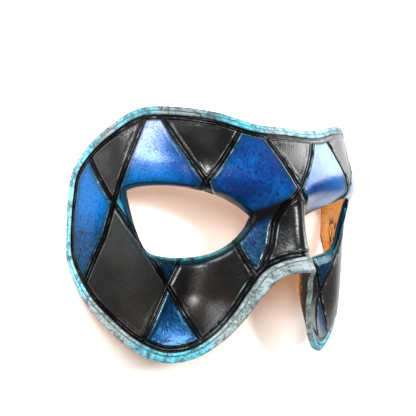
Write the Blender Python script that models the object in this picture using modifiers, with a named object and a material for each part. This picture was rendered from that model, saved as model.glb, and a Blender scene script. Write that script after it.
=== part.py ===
"""A half mask of moulded leather with tooled diamonds, lying face up. Metres, +Z up.

X runs across the face, Y towards the forehead and Z out of the face. The leather is laid
out flat first: S runs across the sheet, T up it and H is the height above its face. Rim,
eye margins and the diamonds' channels are scored in the flat sheet, the sheet is given its
thickness, and then every point is pressed onto the moulding form.
"""
import math

import bmesh
import bpy
import numpy as np
from mathutils import Vector

MM = 0.001
COLLECTION = "harlequin_half_mask"
NODE = "leather_mask"

# Leather sheet and its tooling, in millimetres
LEATHER = 2.4
EDGE_ROUND = 0.4
CHANNEL_DEPTH = 0.7
CHANNEL_TOP = 1.4
CHANNEL_FLOOR = 0.8
LID_MARGIN = 4.0
LID_MARGIN_OUTER = 2.6
LID_ROLL = 2.2
FAR_ROLL_FADE = 0.8
RIM_BAND = 4.2
RIM_BAND_LOBE = 0.9
RIM_BAND_NOSE = 2.0

# Spacing of the loops' points and of the cuts that let the sheet bend
OUTLINE_STEP = 3.8
EYE_STEP = 3.0
CELL = 5.0
NOSE_CELL = 2.4
NOSE_ZONE = 24.0
SHEET_REACH = 105.0
CELL_SNAP = 0.3
RAIL_SNAP = 0.02

# Moulding form: an upright half tube, wider than deep, with a face pressed into it
FORM_WIDTH = 83.0
FORM_DEPTH = 74.0
CREST_ROUND = 6.0

FOREHEAD_FROM = 12.0
FOREHEAD_SPAN = 26.0
FOREHEAD_LEAN = 3.9
FOREHEAD_POWER = 1.6

LOBE_FROM = 30.0
LOBE_CURL = 10.5

SOCKET_DEPTH = 16.3
SOCKET_TOP = 14.0
SOCKET_FULL = -4.0
SOCKET_AT = 36.0
SOCKET_DRIFT = 0.2
SOCKET_WIDTH = 28.5
SOCKET_FADE = 0.8

BROW_RISE = 1.9
BROW_AT = (50.0, 18.0)
BROW_SIZE = (28.0, 9.0)

TEMPLE_PRESS = 7.2
TEMPLE_FROM = 75.0
TEMPLE_TO = 120.0

# Height of the nose's ridge line over the plain tube, from the nostrils up to the brow
RIDGE_T = (-22.0, -10.0, 3.0, 13.0, 35.0)
RIDGE_RISE = (10.4, 4.8, 2.8, 1.8, -6.6)
RIDGE_RANGE = (-30.0, 48.0)
RIDGE_WIDTH = 8.0
RIDGE_WIDEN = 0.14
BROW_BLEND = 22.0

# The form is closed off level with this point, and the mask rests on the flat edge there
REST_EDGE = (102.3, -8.0)
MIDDLE_S = 0.06
MIDDLE_T = -7.939

# Outline of the flat sheet from the forehead's middle round to the nose arch, as S and T
BROW_EDGE = (
    (0.0, 36.3), (18.0, 36.3), (36.0, 39.5), (56.0, 40.9), (70.0, 39.6), (83.0, 32.0),
    (93.5, 23.4),
)
NEAR_TEMPLE = ((99.8, 15.0), (101.9, 5.0), (102.8, -3.0), (102.9, -11.0), (101.7, -18.0))
FAR_TEMPLE = ((100.6, 16.5), (103.2, 9.0), (103.3, 1.0), (101.8, -7.0), (98.6, -15.0))
CHEEK_EDGE = (
    (97.0, -26.0), (88.0, -37.0), (74.0, -49.3), (62.0, -55.3), (52.0, -56.8), (40.0, -54.3),
    (29.0, -47.8), (21.0, -39.5), (15.5, -31.0), (10.5, -24.0), (5.5, -21.0), (0.0, -20.0),
)
NEAR_OUTLINE = BROW_EDGE + NEAR_TEMPLE + CHEEK_EDGE
FAR_OUTLINE = BROW_EDGE + FAR_TEMPLE + CHEEK_EDGE

# Eye opening, from the inner corner over the upper lid to the outer corner and back
EYE = (
    (16.7, -0.8), (18.5, 0.3), (24.0, 2.6), (35.0, 6.0), (47.5, 8.3), (58.5, 9.4), (67.0, 9.2),
    (72.3, 8.1), (73.3, 6.8), (72.3, 3.0), (69.5, -4.5), (66.5, -11.0), (63.0, -14.9),
    (57.0, -16.4), (48.0, -16.9), (37.0, -15.7), (29.0, -12.9), (23.0, -8.9), (18.8, -4.4),
    (17.0, -1.8),
)

# The far opening was cut by eye: its inner corner droops and its outer corner isn't rolled
FAR_EYE = (
    (16.2, -4.2), (20.0, -2.2), (29.0, 0.5), (42.0, 5.6), (56.0, 9.0), (67.0, 9.4),
    (73.4, 8.2), (74.6, 6.2), (73.6, 2.0), (70.9, -4.5), (67.6, -10.4), (63.0, -14.0),
    (57.0, -15.6), (48.0, -16.9), (37.0, -16.2), (28.0, -13.4), (21.0, -8.9), (17.2, -5.8),
)

# Tooled lines of one half as seen in the picture's near half, top end first
TEMPLE_LINE = ((92.5, 25.0), (78.3, 3.8), (55.2, -27.3), (37.0, -50.0))
OUTER_LINE = ((66.0, 38.5), (78.3, 3.8), (82.5, -9.5), (93.0, -30.0))
BROW_LINE = ((60.5, 38.2), (41.8, 12.3), (35.5, 4.0))
CHEEK_LINE = ((23.6, -8.0), (14.2, -25.0))
INNER_BROW_LINE = ((24.5, 35.5), (41.8, 12.3), (46.6, 5.6))
LOBE_LINE = ((48.3, -16.5), (55.2, -27.3), (67.6, -51.5))
FOREHEAD_LINE = ((15.6, 33.5), (0.0, 11.8))
NOSE_LINE = ((0.0, 11.8), (5.6, 5.4), (8.4, -2.0), (10.0, -10.5), (15.6, -25.5))

# The far half was tooled by eye, and its lower crossing lies 4 mm further down
FAR_TEMPLE_LINE = ((92.5, 25.0), (78.3, 3.8), (56.5, -31.3), (42.5, -49.5))
FAR_LOBE_LINE = ((48.8, -16.5), (56.5, -31.3), (61.5, -52.5))

SHARED_LINES = (OUTER_LINE, BROW_LINE, CHEEK_LINE, INNER_BROW_LINE, FOREHEAD_LINE, NOSE_LINE)
NEAR_LINES = SHARED_LINES + (TEMPLE_LINE, LOBE_LINE)
FAR_LINES = SHARED_LINES + (FAR_TEMPLE_LINE, FAR_LOBE_LINE)

# Marks on the flat sheet's faces: the rim, the plain middle, the eye margins and the back
RIM = 0
MIDDLE = 1
LID = 2
BACK = 3

BLUE_LEATHER = (0.02, 0.13, 0.42, 1.0)
LEATHER_ROUGHNESS = 0.38


def smooth(value, start, end):
    """0 before start, 1 after end, with a soft step between them."""
    part = min(max((value - start) / (end - start), 0.0), 1.0)
    return part * part * (3.0 - 2.0 * part)


def bell(distance, width):
    return math.exp(-(distance / width) ** 2)


RIDGE_CURVE = np.polyfit(np.array(RIDGE_T) / 30.0, np.array(RIDGE_RISE), len(RIDGE_T) - 1)


def ridge_rise(t):
    low, high = RIDGE_RANGE
    return float(np.polyval(RIDGE_CURVE, min(max(t, low), high) / 30.0))


def cheek_rise(s, t):
    """Height of brow, eye socket, cheek and temple over the plain tube."""
    across = math.hypot(s, CREST_ROUND)
    lean = min(max((t - FOREHEAD_FROM) / FOREHEAD_SPAN, 0.0), 2.0)
    curl = min(max((-t - LOBE_FROM) / LOBE_FROM, 0.0), 2.0)
    rise = -FOREHEAD_LEAN * lean ** FOREHEAD_POWER - LOBE_CURL * curl ** 2
    socket = SOCKET_DEPTH * smooth(-t, -SOCKET_TOP, -SOCKET_FULL)
    socket *= 1.0 - SOCKET_FADE * smooth(-t, LOBE_FROM, 2.0 * LOBE_FROM)
    middle = SOCKET_AT + SOCKET_DRIFT * min(max(-t, -10.0), 60.0)
    rise -= socket * bell(across - middle, SOCKET_WIDTH)
    rise += BROW_RISE * bell(across - BROW_AT[0], BROW_SIZE[0]) * bell(t - BROW_AT[1], BROW_SIZE[1])
    return rise - TEMPLE_PRESS * smooth(across, TEMPLE_FROM, TEMPLE_TO)


def form_rise(s, t):
    """Height of the whole face over the plain tube, with the nose's ridge added."""
    width = RIDGE_WIDTH + RIDGE_WIDEN * min(max(-t, -50.0), 60.0)
    width += BROW_BLEND * smooth(t, 4.0, 22.0)
    return cheek_rise(s, t) + (ridge_rise(t) - cheek_rise(0.0, t)) * bell(s, width)


def form_point(s, t):
    angle = s / FORM_WIDTH
    rise = form_rise(s, t)
    return Vector(((FORM_WIDTH + rise) * math.sin(angle), t, (FORM_DEPTH + rise) * math.cos(angle)))


def form_normal(s, t, step=0.4):
    across = form_point(s + step, t) - form_point(s - step, t)
    upwards = form_point(s, t + step) - form_point(s, t - step)
    return across.cross(upwards).normalized()


def smooth_loop(points, step):
    """Closed smooth curve through points, with evenly spaced points about step apart."""
    corners = np.array(points)
    before, after = np.roll(corners, 1, 0), np.roll(corners, -1, 0)
    second = np.roll(corners, -2, 0)
    fine = []
    for u in np.linspace(0.0, 1.0, 12, endpoint=False):
        fine.append(
            0.5 * (2.0 * corners + (after - before) * u
                   + (2.0 * before - 5.0 * corners + 4.0 * after - second) * u ** 2
                   + (3.0 * corners - before - 3.0 * after + second) * u ** 3)
        )
    fine = np.stack(fine, 1).reshape(-1, 2)
    closed = np.vstack((fine, fine[:1]))
    length = np.concatenate(([0.0], np.cumsum(np.linalg.norm(np.diff(closed, axis=0), axis=1))))
    count = 4 * round(length[-1] / step / 4.0)
    places = np.linspace(0.0, length[-1], count, endpoint=False)
    return np.stack([np.interp(places, length, closed[:, axis]) for axis in (0, 1)], 1)


def inset_loop(loop, distance):
    """Loop moved to its right by distance, a number or one for each point."""
    ahead = np.roll(loop, -1, 0) - np.roll(loop, 1, 0)
    ahead /= np.linalg.norm(ahead, axis=1)[:, None]
    side = np.stack((ahead[:, 1], -ahead[:, 0]), 1)
    return loop + side * np.asarray(distance).reshape(-1, 1)


def distance(point, line):
    """Shortest way in the flat sheet from a point to a line through points."""
    corners = np.asarray(line)
    runs = np.diff(corners, axis=0)
    ways = np.asarray(point) - corners[:-1]
    along = np.clip((ways * runs).sum(1) / (runs * runs).sum(1), 0.0, 1.0)
    return float(np.linalg.norm(ways - runs * along[:, None], axis=1).min())


def rim_band(point):
    """Width of the band between the leather's edge and the middle of the rim channel."""
    s, t = point
    lobe = RIM_BAND_LOBE * smooth(-t, 20.0, 50.0)
    nose = RIM_BAND_NOSE * bell(s, 10.0) * smooth(-t, 0.0, 10.0)
    return RIM_BAND + lobe + nose


def lid_margin(point):
    """Width of the rolled margin, which is narrower at the eye's outer corner."""
    narrow = smooth(abs(point[0]), 58.0, 70.0)
    return LID_MARGIN + (LID_MARGIN_OUTER - LID_MARGIN) * narrow


class FlatSheet:
    """Loops and tooled lines of the flat sheet, and the heights they give its face."""

    def __init__(self):
        near = [(-s, t) for s, t in NEAR_OUTLINE[-2:0:-1]]
        self.outline = smooth_loop(list(FAR_OUTLINE) + near, OUTLINE_STEP)
        self.band = np.array([rim_band(point) for point in self.outline])
        self.lids = [smooth_loop([(-s, t) for s, t in EYE[::-1]], EYE_STEP)]
        self.lids.append(smooth_loop(FAR_EYE, EYE_STEP))
        centre = inset_loop(self.outline, self.band)
        self.lines = [np.vstack((centre, centre[:1]))]
        self.lines += [[(-s, t) for s, t in line] for line in NEAR_LINES]
        self.lines += FAR_LINES

    def channel(self, point):
        """Height of the tooled face, 0 away from every channel."""
        away = min(distance(point, line) for line in self.lines)
        return -CHANNEL_DEPTH * min(max(CHANNEL_TOP - away, 0.0) / (CHANNEL_TOP - CHANNEL_FLOOR), 1.0)

    def roll(self, point):
        """How far both faces turn in at the eyes."""
        lid = self.lids[0] if point[0] < 0.0 else self.lids[1]
        away = distance(point, np.vstack((lid, lid[:1]))) / lid_margin(point)
        depth = LID_ROLL * (1.0 - FAR_ROLL_FADE * smooth(point[0], 58.0, 70.0))
        return -depth * max(1.0 - away, 0.0) ** 2


def edge_loop(bm, loop):
    verts = [bm.verts.new((s, t, 0.0)) for s, t in loop]
    return [bm.edges.new((here, there)) for here, there in zip(verts, verts[1:] + verts[:1])]


def bridge(bm, loops, mark):
    """Strips of faces between neighbouring loops of points."""
    rings = [edge_loop(bm, loop) for loop in loops]
    for outer, inner in zip(rings[:-1], rings[1:]):
        made = bmesh.ops.bridge_loops(bm, edges=outer + inner)
        for face in made["faces"]:
            face.material_index = mark


def filled_sheet(loops):
    """Flat mesh that fills the first loop and leaves the others open."""
    curve = bpy.data.curves.new("flat_sheet", "CURVE")
    curve.dimensions = "2D"
    curve.fill_mode = "BOTH"
    for loop in loops:
        spline = curve.splines.new("POLY")
        spline.points.add(len(loop) - 1)
        for place, (s, t) in zip(spline.points, loop):
            place.co = (s, t, 0.0, 1.0)
        spline.use_cyclic_u = True
    obj = bpy.data.objects.new("flat_sheet", curve)
    bpy.context.scene.collection.objects.link(obj)
    depsgraph = bpy.context.evaluated_depsgraph_get()
    mesh = bpy.data.meshes.new_from_object(obj.evaluated_get(depsgraph))
    bpy.data.objects.remove(obj)
    bpy.data.curves.remove(curve)
    return mesh


def marked_faces(bm, mark):
    return [face for face in bm.faces if face.material_index == mark]


def merge_flat(bm, faces):
    """Joins the flat faces given into as few as their openings allow."""
    chosen = set(faces)
    edges = dict.fromkeys(edge for face in faces for edge in face.edges)
    inner = [edge for edge in edges if all(face in chosen for face in edge.link_faces)]
    bmesh.ops.dissolve_limit(bm, angle_limit=0.01, verts=[], edges=inner)


def cut(bm, faces, place, direction, snap):
    edges = dict.fromkeys(edge for face in faces for edge in face.edges)
    verts = dict.fromkeys(vert for face in faces for vert in face.verts)
    bmesh.ops.bisect_plane(
        bm, geom=list(faces) + list(edges) + list(verts), dist=snap,
        plane_co=(place[0], place[1], 0.0), plane_no=(direction[0], direction[1], 0.0),
    )


def cut_cells(bm, mark):
    """Cuts the marked faces into cells small enough to bend over the form."""
    nose = np.arange(0.0, NOSE_ZONE, NOSE_CELL)
    cheek = np.arange(NOSE_ZONE, SHEET_REACH, CELL)
    for across in np.concatenate((nose, cheek)):
        for s in sorted({across, -across}):
            cut(bm, marked_faces(bm, mark), (s, 0.0), (1.0, 0.0), CELL_SNAP)
    for t in np.arange(-52.5, 40.0, CELL):
        cut(bm, marked_faces(bm, mark), (0.0, t), (0.0, 1.0), CELL_SNAP)


def score(bm, line):
    """Cuts the four rails of one tooled line into the middle of the sheet."""
    for start, end in zip(line[:-1], line[1:]):
        begin = Vector(start)
        run = Vector(end) - begin
        ahead = run.normalized()
        side = Vector((ahead.y, -ahead.x))
        for offset in (-CHANNEL_TOP, -CHANNEL_FLOOR, CHANNEL_FLOOR, CHANNEL_TOP):
            near = []
            for face in marked_faces(bm, MIDDLE):
                way = face.calc_center_median().to_2d() - begin
                inside = -CHANNEL_TOP < way.dot(ahead) < run.length + CHANNEL_TOP
                if inside and abs(way.dot(side)) < CELL:
                    near.append(face)
            cut(bm, near, begin + side * offset, side, RAIL_SNAP)


def flat_leather(sheet):
    """The front of the flat sheet, with its rim and its eye margins."""
    bm = bmesh.new()
    insets = (0.0, -CHANNEL_TOP, -CHANNEL_FLOOR, CHANNEL_FLOOR, CHANNEL_TOP)
    rim = [sheet.outline] + [inset_loop(sheet.outline, sheet.band + way) for way in insets[1:]]
    bridge(bm, rim, RIM)
    openings = [rim[-1]]
    for lid in sheet.lids:
        margin = np.array([lid_margin(point) for point in lid])
        rows = [inset_loop(lid, -margin * part) for part in (0.0, 0.5, 1.0)]
        bridge(bm, rows, LID)
        openings.append(rows[-1])
    middle = filled_sheet(openings)
    for polygon in middle.polygons:
        polygon.material_index = MIDDLE
    bm.from_mesh(middle)
    bpy.data.meshes.remove(middle)
    bmesh.ops.remove_doubles(bm, verts=bm.verts, dist=0.0001)
    merge_flat(bm, marked_faces(bm, MIDDLE))
    bmesh.ops.recalc_face_normals(bm, faces=bm.faces)
    if bm.faces[0].normal.z < 0.0:
        bmesh.ops.reverse_faces(bm, faces=bm.faces)
    return bm


def leather_slab(bm, sheet):
    """Gives the flat sheet its thickness and rounded edges, then cuts both faces."""
    mesh = bpy.data.meshes.new("flat_leather")
    bm.to_mesh(mesh)
    obj = bpy.data.objects.new("flat_leather", mesh)
    bpy.context.scene.collection.objects.link(obj)
    thickness = obj.modifiers.new("thickness", "SOLIDIFY")
    thickness.thickness = LEATHER
    thickness.offset = -1.0
    rounded = obj.modifiers.new("rounded_edges", "BEVEL")
    rounded.width = EDGE_ROUND
    rounded.segments = 1
    rounded.limit_method = "ANGLE"
    rounded.angle_limit = math.radians(60.0)
    depsgraph = bpy.context.evaluated_depsgraph_get()
    slab = bpy.data.meshes.new_from_object(obj.evaluated_get(depsgraph))
    bm.clear()
    bm.from_mesh(slab)
    bpy.data.objects.remove(obj)
    bpy.data.meshes.remove(mesh)
    bpy.data.meshes.remove(slab)
    back = [face for face in bm.faces if face.normal.z < -0.9 and face.material_index != LID]
    for face in back:
        face.material_index = BACK
    merge_flat(bm, back)
    cut_cells(bm, BACK)
    cut_cells(bm, MIDDLE)
    for line in sheet.lines[1:]:
        score(bm, line)
    bmesh.ops.triangulate(bm, faces=bm.faces, quad_method="BEAUTY", ngon_method="BEAUTY")


def press(bm, sheet):
    """Moves the flat slab onto the moulding form, with its flat edges on the ground."""
    rest = form_point(*REST_EDGE).z
    for vert in bm.verts:
        s, t, depth = vert.co
        height = depth + sheet.roll((s, t))
        if depth > -0.5 * EDGE_ROUND:
            height += sheet.channel((s, t))
        place = form_point(s, t) + form_normal(s, t) * height
        ground = max(place.z, rest) - rest
        vert.co = Vector((place.x - MIDDLE_S, place.y - MIDDLE_T, ground)) * MM
    bmesh.ops.remove_doubles(bm, verts=bm.verts, dist=0.00005)
    bmesh.ops.dissolve_degenerate(bm, edges=bm.edges, dist=0.00001)
    bmesh.ops.triangulate(bm, faces=bm.faces)
    bmesh.ops.recalc_face_normals(bm, faces=bm.faces)


def leather_material():
    material = bpy.data.materials.new("blue_leather")
    material.use_nodes = True
    shader = next(node for node in material.node_tree.nodes if node.type == "BSDF_PRINCIPLED")
    shader.inputs["Base Color"].default_value = BLUE_LEATHER
    shader.inputs["Roughness"].default_value = LEATHER_ROUGHNESS
    shader.inputs["Metallic"].default_value = 0.0
    return material


def main():
    for obj in list(bpy.data.objects):
        bpy.data.objects.remove(obj)
    collection = bpy.data.collections.new(COLLECTION)
    bpy.context.scene.collection.children.link(collection)
    sheet = FlatSheet()
    bm = flat_leather(sheet)
    leather_slab(bm, sheet)
    press(bm, sheet)
    for face in bm.faces:
        face.material_index = 0
    mesh = bpy.data.meshes.new(NODE)
    bm.to_mesh(mesh)
    bm.free()
    mesh.materials.append(leather_material())
    mask = bpy.data.objects.new(NODE, mesh)
    collection.objects.link(mask)


if __name__ == "__main__":
    main()
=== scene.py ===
"""Dresses a moulded leather half mask with tooled diamonds, lying face up on a pale floor.

The leather is laid out flat in millimetres, S across the sheet and T up it, pressed onto a
moulding form, and tooled along its normals. Metres and +Z up in the finished pieces.
"""
import math
import bpy
import numpy as np
from bpy.props import FloatProperty, FloatVectorProperty, IntProperty, PointerProperty
from mathutils import Matrix, Vector
from mathutils.geometry import delaunay_2d_cdt
from mathutils.kdtree import KDTree


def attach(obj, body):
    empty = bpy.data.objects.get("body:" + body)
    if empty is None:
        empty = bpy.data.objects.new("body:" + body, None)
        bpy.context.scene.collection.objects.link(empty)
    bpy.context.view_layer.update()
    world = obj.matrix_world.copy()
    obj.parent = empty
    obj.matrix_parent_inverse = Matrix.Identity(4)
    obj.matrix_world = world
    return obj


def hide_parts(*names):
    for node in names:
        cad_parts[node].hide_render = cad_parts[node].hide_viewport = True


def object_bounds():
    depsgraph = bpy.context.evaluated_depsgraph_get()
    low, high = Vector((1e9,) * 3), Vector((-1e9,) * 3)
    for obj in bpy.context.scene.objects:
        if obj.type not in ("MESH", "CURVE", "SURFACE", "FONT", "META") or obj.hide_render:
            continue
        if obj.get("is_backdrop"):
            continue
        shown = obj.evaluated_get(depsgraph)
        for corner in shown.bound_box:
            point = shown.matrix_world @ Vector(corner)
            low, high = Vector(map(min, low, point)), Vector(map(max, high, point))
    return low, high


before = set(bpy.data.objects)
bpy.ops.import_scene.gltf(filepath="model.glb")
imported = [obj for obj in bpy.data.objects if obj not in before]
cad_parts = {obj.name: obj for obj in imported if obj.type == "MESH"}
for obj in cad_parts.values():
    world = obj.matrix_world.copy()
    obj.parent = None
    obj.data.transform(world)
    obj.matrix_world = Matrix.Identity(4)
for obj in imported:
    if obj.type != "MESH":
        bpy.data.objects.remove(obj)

bl_info = {
    "name": "Harlequin Half Mask",
    "version": (1, 0, 0),
    "blender": (4, 5, 0),
    "location": "View3D > Sidebar > Mask",
    "description": "Builds a moulded leather half mask with tooled diamonds",
    "category": "Object",
}

MM = 0.001
NODE = "leather_mask"
CAD_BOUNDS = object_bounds()

# Moulding form: an upright half tube, wider than deep, with a face pressed into it
FORM_WIDTH = 83.0
FORM_DEPTH = 74.0
CREST_ROUND = 6.0

FOREHEAD_FROM = 12.0
FOREHEAD_SPAN = 26.0
FOREHEAD_LEAN = 3.9
FOREHEAD_POWER = 1.6

LOBE_FROM = 30.0
LOBE_CURL = 10.5

SOCKET_DEPTH = 16.3
SOCKET_TOP = 14.0
SOCKET_FULL = -4.0
SOCKET_AT = 36.0
SOCKET_DRIFT = 0.2
DRIFT_RANGE = (-10.0, 60.0)
SOCKET_WIDTH = 28.5
SOCKET_FADE = 0.8

BROW_RISE = 1.9
BROW_AT = (50.0, 18.0)
BROW_SIZE = (28.0, 9.0)

TEMPLE_PRESS = 7.2
TEMPLE_FROM = 75.0
TEMPLE_TO = 120.0

# Height of the nose's ridge line over the plain tube, from the nostrils up to the brow
RIDGE_T = (-22.0, -10.0, 3.0, 13.0, 35.0)
RIDGE_RISE = (10.4, 4.8, 2.8, 1.8, -6.6)
RIDGE_RANGE = (-30.0, 48.0)
RIDGE_UNIT = 30.0
RIDGE_WIDTH = 8.0
RIDGE_WIDEN = 0.14
WIDEN_RANGE = (-50.0, 60.0)
BROW_BLEND = 22.0
BROW_BLEND_RANGE = (4.0, 22.0)

# The form is closed off level with this point, and the mask rests on the flat edge there
REST_EDGE = (102.3, -8.0)

# Middle of the moulded leather's footprint, which comes to lie at the origin
MIDDLE_S = 0.06
MIDDLE_T = -7.939

# Widths of the rim and of the rolled margins of the eyes, and where they change
RIM_BAND = 4.2
RIM_BAND_LOBE = 0.9
LOBE_RANGE = (20.0, 50.0)
RIM_BAND_NOSE = 2.0
NOSE_REACH = 10.0
LID_MARGIN = 4.0
LID_MARGIN_OUTER = 2.6
LID_ROLL = 2.2
FAR_ROLL_FADE = 0.8
OUTER_CORNER = (58.0, 70.0)

# Outline of the flat sheet from the forehead's middle round to the nose arch, as S and T
BROW_EDGE = (
    (0.0, 36.3), (18.0, 36.3), (36.0, 39.5), (56.0, 40.9), (70.0, 39.6), (83.0, 32.0),
    (93.5, 23.4),
)
NEAR_TEMPLE = ((99.8, 15.0), (101.9, 5.0), (102.8, -3.0), (102.9, -11.0), (101.7, -18.0))
FAR_TEMPLE = ((100.6, 16.5), (103.2, 9.0), (103.3, 1.0), (101.8, -7.0), (98.6, -15.0))
CHEEK_EDGE = (
    (97.0, -26.0), (88.0, -37.0), (74.0, -49.3), (62.0, -55.3), (52.0, -56.8), (40.0, -54.3),
    (29.0, -47.8), (21.0, -39.5), (15.5, -31.0), (10.5, -24.0), (5.5, -21.0), (0.0, -20.0),
)
NEAR_OUTLINE = BROW_EDGE + NEAR_TEMPLE + CHEEK_EDGE
FAR_OUTLINE = BROW_EDGE + FAR_TEMPLE + CHEEK_EDGE

# Eye openings, from the inner corner over the upper lid to the outer corner and back
NEAR_EYE = (
    (16.7, -0.8), (18.5, 0.3), (24.0, 2.6), (35.0, 6.0), (47.5, 8.3), (58.5, 9.4), (67.0, 9.2),
    (72.3, 8.1), (73.3, 6.8), (72.3, 3.0), (69.5, -4.5), (66.5, -11.0), (63.0, -14.9),
    (57.0, -16.4), (48.0, -16.9), (37.0, -15.7), (29.0, -12.9), (23.0, -8.9), (18.8, -4.4),
    (17.0, -1.8),
)
FAR_EYE = (
    (16.2, -4.2), (20.0, -2.2), (29.0, 0.5), (42.0, 5.6), (56.0, 9.0), (67.0, 9.4),
    (73.4, 8.2), (74.6, 6.2), (73.6, 2.0), (70.9, -4.5), (67.6, -10.4), (63.0, -14.0),
    (57.0, -15.6), (48.0, -16.9), (37.0, -16.2), (28.0, -13.4), (21.0, -8.9), (17.2, -5.8),
)

# Tooled lines of one half, each from the top edge down and carried on behind the eye opening
TEMPLE_LINE = ((92.5, 25.0), (78.3, 3.8), (55.2, -27.3), (37.0, -50.0))
OUTER_LINE = ((66.0, 38.5), (78.3, 3.8), (82.5, -9.5), (93.0, -30.0))
BROW_LINE = ((60.5, 38.2), (41.8, 12.3), (35.5, 4.0), (23.6, -8.0), (14.2, -25.0))
LOBE_LINE = (
    (24.5, 35.5), (41.8, 12.3), (46.6, 5.6), (48.3, -16.5), (55.2, -27.3), (67.6, -51.5),
)
NOSE_LINE = (
    (15.6, 33.5), (0.0, 11.8), (5.6, 5.4), (8.4, -2.0), (10.0, -10.5), (15.6, -25.5),
)
FAR_TEMPLE_LINE = ((92.5, 25.0), (78.3, 3.8), (56.5, -31.3), (42.5, -49.5))
FAR_LOBE_LINE = (
    (24.5, 35.5), (41.8, 12.3), (46.6, 5.6), (48.8, -16.5), (56.5, -31.3), (61.5, -52.5),
)
NEAR_LINES = (TEMPLE_LINE, OUTER_LINE, BROW_LINE, LOBE_LINE, NOSE_LINE)
FAR_LINES = (FAR_TEMPLE_LINE, OUTER_LINE, BROW_LINE, FAR_LOBE_LINE, NOSE_LINE)
HALVES = ((-1.0, NEAR_LINES), (1.0, FAR_LINES))

# Rows of points beside the edges and channels, as distances from them
RIM_ROWS = (-2.8, -2.5, -2.2, -1.8, -1.45, -1.1, -0.75, -0.3, 0.0, 0.3, 0.75, 1.1, 1.45, 1.9)
LINE_ROWS = (0.0, 0.25, 0.5, 0.8, 1.1, 1.4, 1.8)
LID_ROWS = (0.3, 0.7, 1.2, 1.8, 2.5, 3.3, 4.2)
EDGE_ROWS = (0.3, 0.8)
BACK_ROWS = (0.6, 1.8)

# Honeycomb of points between them: where it reaches, and its rows' distance over its step
LATTICE_S = (-104.0, 104.0)
LATTICE_T = (-57.0, 41.0)
LATTICE_ROW = 0.866

# Steps of a smooth curve from each of its corners to the next
CURVE_STEPS = 24

# Rounded cut edges: bulge and depth of the rows round them, depth and width on the front
EDGE_PROFILE = ((0.14, 0.5), (0.2, 1.2), (0.14, 1.9))
EDGE_ROUND = 0.14
EDGE_ROUND_WIDTH = 0.3

# Size of the flat pattern in its UV map, which holds the front below the back
PATTERN_SPAN = 230.0
PATTERN_MAP = "flat_pattern"

# Values kept at each point of the leather; front is 1 on its face, less on its edges, 0 behind,
# and faces where it is below the last number show the bare inner side
VALUES = ("line_way", "rim_way", "edge_way", "lid_way", "blue", "front")
EDGE_FRONT = 0.5
BARE_BELOW = 0.1

# Inputs of the tooling: lengths in millimetres, and the seed of its waves
TOOLING = (
    "Channel Width", "Channel Depth", "Ridge Height", "Lip Height", "Score Depth",
    "Wave Height", "Wave Length", "Seed",
)

# Places across the rim, as distances from the middle of its channel
RIM_OUTSIDE = (-1.0, 0.0)
RIM_SILVERED = (-1.25, -1.0)
RIM_LIP_AT = -1.85
SCORE_AT = -2.5

# Width beside the cut edges over which the tooling fades, and a distance beyond every channel
TOOLING_FADE = 0.35
OUT_OF_REACH = 20.0

# Fibres of the floor's paper, their height in millimetres
FIBRES_PER_METRE = 900.0
FIBRE_HEIGHT = 0.02

# Softboxes: name, power setting, width and height, place right of, above and in front of the
# mask in the photograph's view, in metres, and whether glossy paint mirrors them
SOFTBOXES = (
    ("front_softbox", "front_power", (0.24, 0.2), (0.0, 0.17, 0.87), False),
    ("brow_softbox", "brow_power", (0.2, 0.3), (-0.08, 0.46, 0.73), True),
    ("nose_strip", "nose_power", (0.09, 0.22), (0.43, 0.19, 0.75), True),
    ("back_softbox", "back_power", (0.45, 0.5), (0.75, 0.32, -0.26), True),
)
SOFTBOX_AIM = (0.0, 0.0, 0.03)

# The photograph's view: degrees across and over the face and of roll, then its distance,
# focal length and shift in mm
VIEW_ACROSS = 42.0
VIEW_OVER = -1.6
VIEW_ROLL = 1.2
VIEW_DISTANCE = 466.0
VIEW_LENS = 90.33
VIEW_SHIFT = (-14.78, -4.46)


def smooth(value, start, end):
    """0 before start, 1 after end, with a soft step between them."""
    part = np.clip((value - start) / (end - start), 0.0, 1.0)
    return part * part * (3.0 - 2.0 * part)


def bell(distance, width):
    return np.exp(-(distance / width) ** 2)


RIDGE_CURVE = np.polyfit(np.array(RIDGE_T) / RIDGE_UNIT, RIDGE_RISE, len(RIDGE_T) - 1)


def cheek_rise(s, t):
    """Height of brow, eye socket, cheek and temple over the plain tube."""
    across = np.hypot(s, CREST_ROUND)
    lean = np.clip((t - FOREHEAD_FROM) / FOREHEAD_SPAN, 0.0, 2.0)
    curl = np.clip((-t - LOBE_FROM) / LOBE_FROM, 0.0, 2.0)
    rise = -FOREHEAD_LEAN * lean ** FOREHEAD_POWER - LOBE_CURL * curl ** 2
    socket = SOCKET_DEPTH * smooth(-t, -SOCKET_TOP, -SOCKET_FULL)
    socket = socket * (1.0 - SOCKET_FADE * smooth(-t, LOBE_FROM, 2.0 * LOBE_FROM))
    middle = SOCKET_AT + SOCKET_DRIFT * np.clip(-t, *DRIFT_RANGE)
    rise = rise - socket * bell(across - middle, SOCKET_WIDTH)
    brow = bell(across - BROW_AT[0], BROW_SIZE[0]) * bell(t - BROW_AT[1], BROW_SIZE[1])
    return rise + BROW_RISE * brow - TEMPLE_PRESS * smooth(across, TEMPLE_FROM, TEMPLE_TO)


def form_points(s, t):
    """Places on the moulding form under points of the flat sheet."""
    width = RIDGE_WIDTH + RIDGE_WIDEN * np.clip(-t, *WIDEN_RANGE)
    width = width + BROW_BLEND * smooth(t, *BROW_BLEND_RANGE)
    ridge = np.polyval(RIDGE_CURVE, np.clip(t, *RIDGE_RANGE) / RIDGE_UNIT)
    rise = cheek_rise(s, t) + (ridge - cheek_rise(0.0, t)) * bell(s, width)
    angle = s / FORM_WIDTH
    across = (FORM_WIDTH + rise) * np.sin(angle)
    return np.stack((across, t, (FORM_DEPTH + rise) * np.cos(angle)), -1)


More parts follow.
